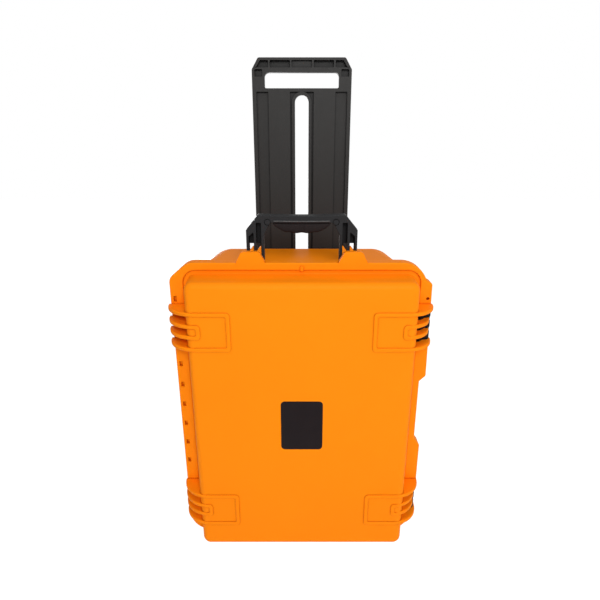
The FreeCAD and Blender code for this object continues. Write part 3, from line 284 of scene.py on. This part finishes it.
def soft_copy(name, node, body, shape):
    """A softened copy of a CAD solid: remeshed evenly, its edges rounded, then shaped point by point."""
    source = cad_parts[node].data.copy()
    block = bpy.data.objects.new(name + "_block", source)
    bpy.context.collection.objects.link(block)
    even = block.modifiers.new("even", "REMESH")
    even.mode = "VOXEL"
    even.voxel_size = foam_cell
    ready = block.evaluated_get(bpy.context.evaluated_depsgraph_get())
    mesh = bpy.data.meshes.new_from_object(ready)
    bpy.data.objects.remove(block)
    work = bmesh.new()
    work.from_mesh(mesh)
    for _ in range(foam_roundings):
        bmesh.ops.smooth_vert(work, verts=work.verts, factor=0.5,
                              use_axis_x=True, use_axis_y=True, use_axis_z=True)
    for vertex in work.verts:
        vertex.co = shape(vertex.co)
    work.to_mesh(mesh)
    work.free()
    for face in mesh.polygons:
        face.use_smooth = True
    mesh.materials.clear()
    mesh.materials.append(foam_skin)
    piece = bpy.data.objects.new(name, mesh)
    bpy.context.collection.objects.link(piece)
    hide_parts(node)
    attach(piece, body)
    return piece


crate_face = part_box("lid_foam")[1].y


def egg_crate(point):
    """Bumps and hollows on the sheet's open face."""
    share = max(0.0, 1 - (crate_face - point.y) / foam_top)
    turn_x = 2 * math.pi * point.x / crate_pitch
    turn_z = 2 * math.pi * point.z / crate_pitch
    wave = 0.5 + 0.25 * (math.cos(turn_x) + math.cos(turn_z))
    low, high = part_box("lid_foam")
    rim = min(point.x - low.x, high.x - point.x, point.z - low.z, high.z - point.z)
    fade = min(1.0, max(0.0, rim / crate_border))
    return point - Vector((0, crate_depth * share * (1 - wave) * fade, 0))


def settled(point):
    """The slight unevenness of a cut sheet."""
    return point + Vector((0, -cut_depth - cut_wander * abs(noise.noise(point * cut_waves)), 0))


soft_copy("lid_foam_sheet", "lid_foam", "lid", egg_crate)
soft_copy("base_foam_block", "base_foam_insert", "case", lambda point: point)
soft_copy("base_foam_sheet", "base_foam_floor", "case", settled)


# ---- Seal ----
# A round cord of soft black rubber, joined into a ring. It is pressed into the groove round the lid's rim
# and held there by its own grip.


def rubber(name, colour, rough, dusty=0.5):
    """Soft matt rubber with dust in its finest texture."""
    material, shader, start, place = finish(name)
    dust = cloud(start, place, 90.0, 5.0, 0.65)
    skin = cloud(start, place, 900.0)
    tone = start.mix(dust * dusty, colour, (0.045, 0.043, 0.042, 1.0))
    bump = start.node("ShaderNodeBump", sockets={"Strength": 0.4, "Distance": 0.00012, "Height": skin})
    connect(shader, Base_Color=tone, Roughness=rough + dust * 0.12, Specular_IOR_Level=0.14, Normal=bump)
    return material


black_rubber = rubber("black_rubber", (0.012, 0.011, 0.011, 1.0), 0.62)


def shell_of(rings, closed):
    """The faces that join a row of equal rings of points, with end caps unless the row closes on itself."""
    count = len(rings[0])
    faces = []
    for i in range(len(rings) if closed else len(rings) - 1):
        here = i * count
        there = (i + 1) % len(rings) * count
        for k in range(count):
            following = (k + 1) % count
            faces.append((here + k, here + following, there + following, there + k))
    if not closed:
        faces.append(tuple(range(count))[::-1])
        faces.append(tuple(range((len(rings) - 1) * count, len(rings) * count)))
    return [point for ring in rings for point in ring], faces


def add_piece(name, points, faces, material, slot, body, *nodes):
    """A new mesh piece that rides on a body and stands for CAD nodes."""
    mesh = bpy.data.meshes.new(name)
    mesh.from_pydata(points, [], faces)
    tidy = bmesh.new()
    tidy.from_mesh(mesh)
    bmesh.ops.recalc_face_normals(tidy, faces=tidy.faces)
    tidy.to_mesh(mesh)
    tidy.free()
    for face in mesh.polygons:
        face.use_smooth = True
    mesh.materials.append(material)
    piece = bpy.data.objects.new(name, mesh)
    bpy.context.collection.objects.link(piece)
    if nodes:
        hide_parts(*nodes)
    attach(piece, body)
    return piece


def rounded_path(low, high, radius, steps):
    """Points round a rectangle with rounded corners, as (x, z)."""
    points = []
    for centre_x, centre_z, turn in (
        (high.x - radius, high.z - radius, 0), (low.x + radius, high.z - radius, 1),
        (low.x + radius, low.z + radius, 2), (high.x - radius, low.z + radius, 3),
    ):
        for i in range(steps + 1):
            angle = math.pi / 2 * (turn + i / steps)
            points.append((centre_x + radius * math.cos(angle), centre_z + radius * math.sin(angle)))
    return points


seal_low, seal_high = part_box("lid_gasket")
seal_half = 0.0019
seal_sides = 14
seal_corner = 0.018
seal_inset = Vector((seal_half, 0, seal_half))
seal_path = rounded_path(seal_low + seal_inset, seal_high - seal_inset, seal_corner, 10)
seal_middle = (seal_low.y + seal_high.y) / 2
seal_thick = (seal_high.y - seal_low.y) / 2
seal_rings = []
for i, (x, z) in enumerate(seal_path):
    before = seal_path[i - 1]
    after = seal_path[(i + 1) % len(seal_path)]
    along = Vector((after[0] - before[0], 0, after[1] - before[1])).normalized()
    across = along.cross(Vector((0, 1, 0)))
    ring = []
    for k in range(seal_sides):
        angle = 2 * math.pi * k / seal_sides
        ring.append(Vector((x, seal_middle, z)) + across * (seal_half * math.cos(angle))
                    + Vector((0, seal_thick * math.sin(angle), 0)))
    seal_rings.append(ring)
add_piece("seal_cord", *shell_of(seal_rings, True), black_rubber, "black_rubber", "lid", "lid_gasket")


# ---- Badge ----
# A bare plate of smooth black plastic. It is glued into a shallow seat in the middle of the lid, and has no
# print on it.

badge_plate, badge_shader, badge_start, badge_place = finish("badge_plate")
badge_smears = cloud(badge_start, badge_place, 35.0, 4.0, 0.6)
badge_tone = badge_start.mix(badge_smears, (0.008, 0.004, 0.005, 1.0), (0.012, 0.008, 0.009, 1.0))
connect(badge_shader, Base_Color=badge_tone, Roughness=0.36 + badge_smears * 0.16, Specular_IOR_Level=0.10)
dress(badge_plate, "lid_badge")


# ---- Latches ----
# Each latch is a black moulded lever on a steel pin between the fins, with a button that frees it. A small
# wound steel spring pushes the button out.

black_plastic = moulded("black_plastic", (0.007, 0.006, 0.006, 1.0), (0.002, 0.001, 0.001, 1.0), 0.52, 0.08,
                        1100.0, 0.00008)


def metal(name, colour, rough, along):
    """Drawn or turned steel, with fine lines along one direction."""
    material, shader, start, place = finish(name)
    stretched = start.node("ShaderNodeMapping", sockets={"Vector": place, "Scale": along})
    lines = cloud(start, stretched, 1.0, 3.0, 0.6)
    stains = cloud(start, place, 120.0, 3.0)
    tone = start.mix(stains, colour, tuple(c * 0.72 for c in colour[:3]) + (1.0,))
    bump = start.node("ShaderNodeBump", sockets={"Strength": 0.25, "Distance": 0.00005, "Height": lines})
    connect(shader, Base_Color=tone, Metallic=1.0, Roughness=rough + lines * 0.14, Normal=bump)
    return material


upright_steel = metal("upright_steel", (0.58, 0.58, 0.57, 1.0), 0.26, (2500.0, 2500.0, 60.0))
level_steel = metal("level_steel", (0.58, 0.58, 0.57, 1.0), 0.26, (60.0, 2500.0, 2500.0))
dress(upright_steel, "latch_pin_upper", "latch_pin_lower", "hinge_pin", "side_handle_pins")
spring_turns = 5
spring_steps = 16
spring_pitch = 2.6


def coil_spring(name, node, body, axis):
    """A wound steel spring along one axis.

    Its pitch is given in thicknesses of its wire.
    """
    low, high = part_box(node)
    size = high - low
    long = "xyz".index(axis)
    others = [i for i in range(3) if i != long]
    wire = size[long] / (spring_pitch * spring_turns)
    radius = size[others[0]] / 2 - wire / 2
    middle = (low + high) / 2
    path = bpy.data.curves.new(name, "CURVE")
    path.dimensions = "3D"
    path.bevel_depth = wire / 2
    path.bevel_resolution = 3
    path.use_fill_caps = True
    count = spring_turns * spring_steps + 1
    line = path.splines.new("POLY")
    line.points.add(count - 1)
    travel = size[long] - wire
    for i in range(count):
        turn = 2 * math.pi * i / spring_steps
        spot = Vector((0, 0, 0))
        spot[long] = low[long] + wire / 2 + travel * i / (count - 1)
        spot[others[0]] = middle[others[0]] + radius * math.cos(turn)
        spot[others[1]] = middle[others[1]] + radius * math.sin(turn)
        line.points[i].co = (*spot, 1.0)
    winding = bpy.data.objects.new(name, path)
    bpy.context.collection.objects.link(winding)
    mesh = bpy.data.meshes.new_from_object(winding.evaluated_get(bpy.context.evaluated_depsgraph_get()))
    bpy.data.objects.remove(winding)
    points = [vertex.co.copy() for vertex in mesh.vertices]
    faces = [tuple(face.vertices) for face in mesh.polygons]
    spring = add_piece(name, points, faces, level_steel, "steel", body, node)
    anchor = middle.copy()
    anchor[long] = low[long]
    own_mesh(spring)


for place_name in ("upper", "lower"):
    dress(black_plastic, "latch_lever_" + place_name, "latch_button_" + place_name)
    coil_spring("latch_coil_" + place_name, "latch_spring_" + place_name, "latch_" + place_name,
                "x")

# Three black bearing blocks fill each latch's recess between the fins, from the lid's side to the barrel.
block_outline = ((0.2121, -0.0964), (0.2121, -0.1215), (0.2210, -0.1180), (0.2270, -0.1125),
                 (0.2196, -0.1105), (0.2196, -0.0964))
block_x, block_y = (0.2165, -0.1060)
block_bevel = 0.0006
block_end = 0.94
inner_fins = 0.0280
fin_half = 0.0037
arm = inner_fins / 2 - fin_half
for place_name in ("upper", "lower"):
    low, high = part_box("latch_lever_" + place_name)
    middle = (low.z + high.z) / 2
    block_points = []
    block_faces = []
    for bottom, top in ((low.z, middle - arm - fin_half), (middle - arm + fin_half, middle + arm - fin_half),
                        (middle + arm + fin_half, high.z)):
        rings = []
        for z, size in ((bottom, block_end), (bottom + block_bevel, 1.0), (top - block_bevel, 1.0),
                        (top, block_end)):
            rings.append([Vector((block_x + (x - block_x) * size, block_y + (y - block_y) * size, z))
                          for x, y in block_outline])
        points, faces = shell_of(rings, False)
        block_faces += [tuple(k + len(block_points) for k in face) for face in faces]
        block_points += points
    add_piece("latch_blocks_" + place_name, block_points, block_faces, black_plastic, "black_plastic", "lid")


# ---- Carry handle ----
# A folding handle on top: a ribbed frame of dark grey plastic on two steel pins, with a soft rubber grip
# moulded under its bar.

handle_plastic = moulded("handle_plastic", (0.019, 0.019, 0.020, 1.0), (0.003, 0.002, 0.002, 1.0), 0.50,
                         0.12, 1100.0, 0.00008)
dress(handle_plastic, "top_handle_frame")
dress(level_steel, "top_handle_pins")
grip_rubber = rubber("grip_rubber", (0.008, 0.004, 0.004, 1.0), 0.62, 0.12)
grip_low, grip_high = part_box("top_handle_grip")
grip_stations = 61
grip_ring = 28
ripple = 0.0006
ripples = 5
rippled_share = 0.8
grip_end_wall = 0.0015
grip_spare = 0.001
grip_taper = 0.14
grip_least = 0.0006
grip_squareness = 0.42
grip_seat_half = 0.0045
grip_seat_deep = 0.0009


def squared_ring(x, y_middle, z_middle, y_half, z_half, power):
    """A ring of points across X, between a circle and a rectangle."""
    ring = []
    for k in range(grip_ring):
        angle = 2 * math.pi * k / grip_ring
        c = math.cos(angle)
        s = math.sin(angle)
        ring.append(Vector((x, y_middle + y_half * math.copysign(abs(c) ** power, c),
                            z_middle + z_half * math.copysign(abs(s) ** power, s))))
    return ring


grip_middle = (grip_low + grip_high) / 2
grip_half_x = (grip_high.x - grip_low.x) / 2
grip_half_y = (grip_high.y - grip_low.y) / 2
grip_swell = grip_high.z - grip_low.z - grip_end_wall - grip_spare
grip_rings = []
for i in range(grip_stations):
    share = -1 + 2 * i / (grip_stations - 1)
    fullness = max(0.0, 1 - abs(share) ** 3.2) ** 0.8
    wave = ripple * math.cos(math.pi * ripples * share) if abs(share) < rippled_share else 0.0
    bottom = grip_high.z - grip_end_wall - grip_swell * fullness + wave
    z_half = max(grip_least, (grip_high.z - bottom) / 2)
    seat = grip_seat_deep if abs(share * grip_half_x) < grip_seat_half else 0.0
    y_half = grip_half_y * (1 - grip_taper + grip_taper * fullness) - seat
    grip_rings.append(squared_ring(grip_middle.x + share * grip_half_x, grip_middle.y, grip_high.z - z_half,
                                   y_half, z_half, grip_squareness))
add_piece("carry_grip", *shell_of(grip_rings, False), grip_rubber, "black_rubber", "top_handle",
          "top_handle_grip")

# The rubber laps up over the front of the bar, to a moulded bead along it. The bead's plastic is paler and
# shinier than the frame's: a painted highlight along the bar's edge, besides the light its rounded shape
# catches.
bar_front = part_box("top_handle_frame")[0].y
bead_highlight_plastic = moulded("bead_highlight_plastic", (0.062, 0.062, 0.063, 1.0), (0.02, 0.02, 0.02, 1.0), 0.40, 0.30,
                       1100.0, 0.00006)
bead_sag = 0.0006
bead_sink = 0.001
for name, foot, head, proud, material, slot in (
    ("grip_lap", 0.0, 0.0026, 0.0005, grip_rubber, "black_rubber"),
    ("bar_bead", 0.0026, 0.0050, 0.0011, bead_highlight_plastic, "black_plastic"),
):
    rings = []
    for i in range(grip_stations):
        share = -1 + 2 * i / (grip_stations - 1)
        end = max(0.25, (1 - abs(share) ** 24) ** 0.5)
        sag = bead_sag * (1 - share ** 2)
        rings.append(squared_ring(grip_middle.x + share * grip_half_x, bar_front + bead_sink,
                                  grip_high.z + (foot + head) / 2 - sag, (bead_sink + proud) * end,
                                  (head - foot) / 2 * end, 0.8))
    add_piece(name, *shell_of(rings, False), material, slot, "top_handle")


# ---- Side handle ----
# A second folding handle beside the latches, with a ribbed rubber grip moulded round its bar.

dress(handle_plastic, "side_handle_frame")
side_low, side_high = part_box("side_handle_grip")
side_middle = (side_low + side_high) / 2
side_size = side_high - side_low
side_ribs = 9
side_stations = 91
side_groove = 0.0010
side_step = 0.0012
side_plain_share = 0.04
side_squareness = 0.55
side_rings = []
for i in range(side_stations):
    share = i / (side_stations - 1)
    groove = side_groove * max(0.0, math.cos(2 * math.pi * side_ribs * (share - 0.5))) ** 4
    if share < side_plain_share or share > 1 - side_plain_share:
        groove = side_step
    ring = []
    for k in range(grip_ring):
        angle = 2 * math.pi * k / grip_ring
        c = math.cos(angle)
        s = math.sin(angle)
        ring.append(Vector((
            side_middle.x + (side_size.x / 2 - groove) * math.copysign(abs(c) ** side_squareness, c),
            side_middle.y + (side_size.y / 2 - groove) * math.copysign(abs(s) ** side_squareness, s),
            side_low.z + side_size.z * share)))
    side_rings.append(ring)
add_piece("side_grip", *shell_of(side_rings, False), grip_rubber, "black_rubber", "side_handle",
          "side_handle_grip")


# ---- Trolley ----
# A flat pull-out plate of black plastic with cored pockets, guided by rails, a fixed boss and a cover on the
# back of the case. A sprung button in its grip frees it.

trolley_plastic = moulded("trolley_plastic", (0.028, 0.027, 0.026, 1.0), (0.005, 0.004, 0.004, 1.0), 0.50,
                          0.14, 1100.0, 0.00008)
dress(trolley_plastic, "trolley_plate", "trolley_button", "trolley_guide_boss", "trolley_back_cover")
dress(level_steel, "trolley_cover_screws", "trolley_guide_screws")
coil_spring("trolley_coil", "trolley_button_spring", "trolley", "y")


# ---- Wheels and feet ----
# Two wheels with grooved rubber tyres on grey hubs turn on ball bearings and steel axles in the base's back
# corners. Two rubber feet are stuck under its front.

tyre_rubber = rubber("tyre_rubber", (0.018, 0.018, 0.018, 1.0), 0.70)
hub_plastic = moulded("hub_plastic", (0.10, 0.10, 0.105, 1.0), (0.03, 0.03, 0.03, 1.0), 0.45, 0.35,
                      1100.0, 0.00008)
tyre_steps = 120
tyre_thick = 0.008
tread_groove = 0.0016
groove_mouth = 0.045
groove_floor = 0.03
lug_depth = 0.0009
lug_every = 4
shoulder = ((0.03, 0.0018), (0.09, 0.0003), (0.15, 0.0))
tyre_edge = 0.0042
for side in ("left", "right"):
    dress(hub_plastic, "wheel_hub_" + side)
    dress(level_steel, "wheel_bearings_" + side, "wheel_axle_" + side)
    low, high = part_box("wheel_tyre_" + side)
    middle = (low + high) / 2
    width = high.x - low.x
    outer = (high.z - low.z) / 2
    inner = outer - tyre_thick
    profile = [(0.0, inner), (0.0, outer - tyre_edge)] + [(share, outer - drop) for share, drop in shoulder]
    for groove in (0.30, 0.50, 0.70):
        profile += [(groove - groove_mouth, outer), (groove - groove_floor, outer - tread_groove),
                    (groove + groove_floor, outer - tread_groove), (groove + groove_mouth, outer)]
    profile += [(1 - share, outer - drop) for share, drop in reversed(shoulder)]
    profile += [(1.0, outer - tyre_edge), (1.0, inner)]
    rings = []
    for i in range(tyre_steps):
        angle = 2 * math.pi * i / tyre_steps
        ring = []
        for share, radius in profile:
            on_shoulder = radius > outer - 0.002 and (share < 0.2 or share > 0.8)
            drop = lug_depth if on_shoulder and i % lug_every == 0 else 0.0
            ring.append(Vector((low.x + width * share, middle.y + (radius - drop) * math.cos(angle),
                                middle.z + (radius - drop) * math.sin(angle))))
        rings.append(ring)
    add_piece("tyre_" + side, *shell_of(rings, True), tyre_rubber, "wheel_tread", "wheel_" + side,
              "wheel_tyre_" + side)
dress(level_steel, "wheel_spacers")

feet_low, feet_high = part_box("rubber_feet")
foot_width = 0.056
foot_corner = 0.004
foot_points = []
foot_faces = []
for start_x in (feet_low.x, feet_high.x - foot_width):
    rings = []
    for share, inset in ((0.0, 0.0022), (0.10, 0.0008), (0.25, 0.0), (0.42, 0.0), (0.48, 0.0009),
                         (0.56, 0.0009), (0.62, 0.0), (1.0, 0.0)):
        z = feet_low.z + (feet_high.z - feet_low.z) * share
        path = rounded_path(Vector((start_x + inset, 0, feet_low.y + inset)),
                            Vector((start_x + foot_width - inset, 0, feet_high.y - inset)), foot_corner, 6)
        rings.append([Vector((x, y, z)) for x, y in path])
    points, faces = shell_of(rings, False)
    foot_faces += [tuple(k + len(foot_points) for k in face) for face in faces]
    foot_points += points
add_piece("soft_feet", foot_points, foot_faces, black_rubber, "black_rubber", "case", "rubber_feet")


# ---- Purge valve ----
# A black plastic knob with finger grooves lets the case breathe. Its stem goes through the wall on the latch
# side, and a flat ring of black rubber seals it there.

dress(black_plastic, "purge_valve_body")
washer_low, washer_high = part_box("purge_valve_seal")
washer_middle = (washer_low + washer_high) / 2
washer_outer = (washer_high.z - washer_low.z) / 2
washer_inner = 0.00605
washer_half = (washer_high.x - washer_low.x) / 2
washer_steps = 48
washer_sides = 12
washer_rings = []
for i in range(washer_steps):
    angle = 2 * math.pi * i / washer_steps
    ring = []
    for k in range(washer_sides):
        turn = 2 * math.pi * k / washer_sides
        radius = (washer_outer + washer_inner) / 2 + (washer_outer - washer_inner) / 2 * math.cos(turn)
        s = math.sin(turn)
        ring.append(Vector((washer_middle.x + washer_half * math.copysign(abs(s) ** 0.6, s),
                            washer_middle.y + radius * math.cos(angle),
                            washer_middle.z + radius * math.sin(angle))))
    washer_rings.append(ring)
add_piece("valve_washer", *shell_of(washer_rings, True), black_rubber, "black_rubber", "case",
          "purge_valve_seal")
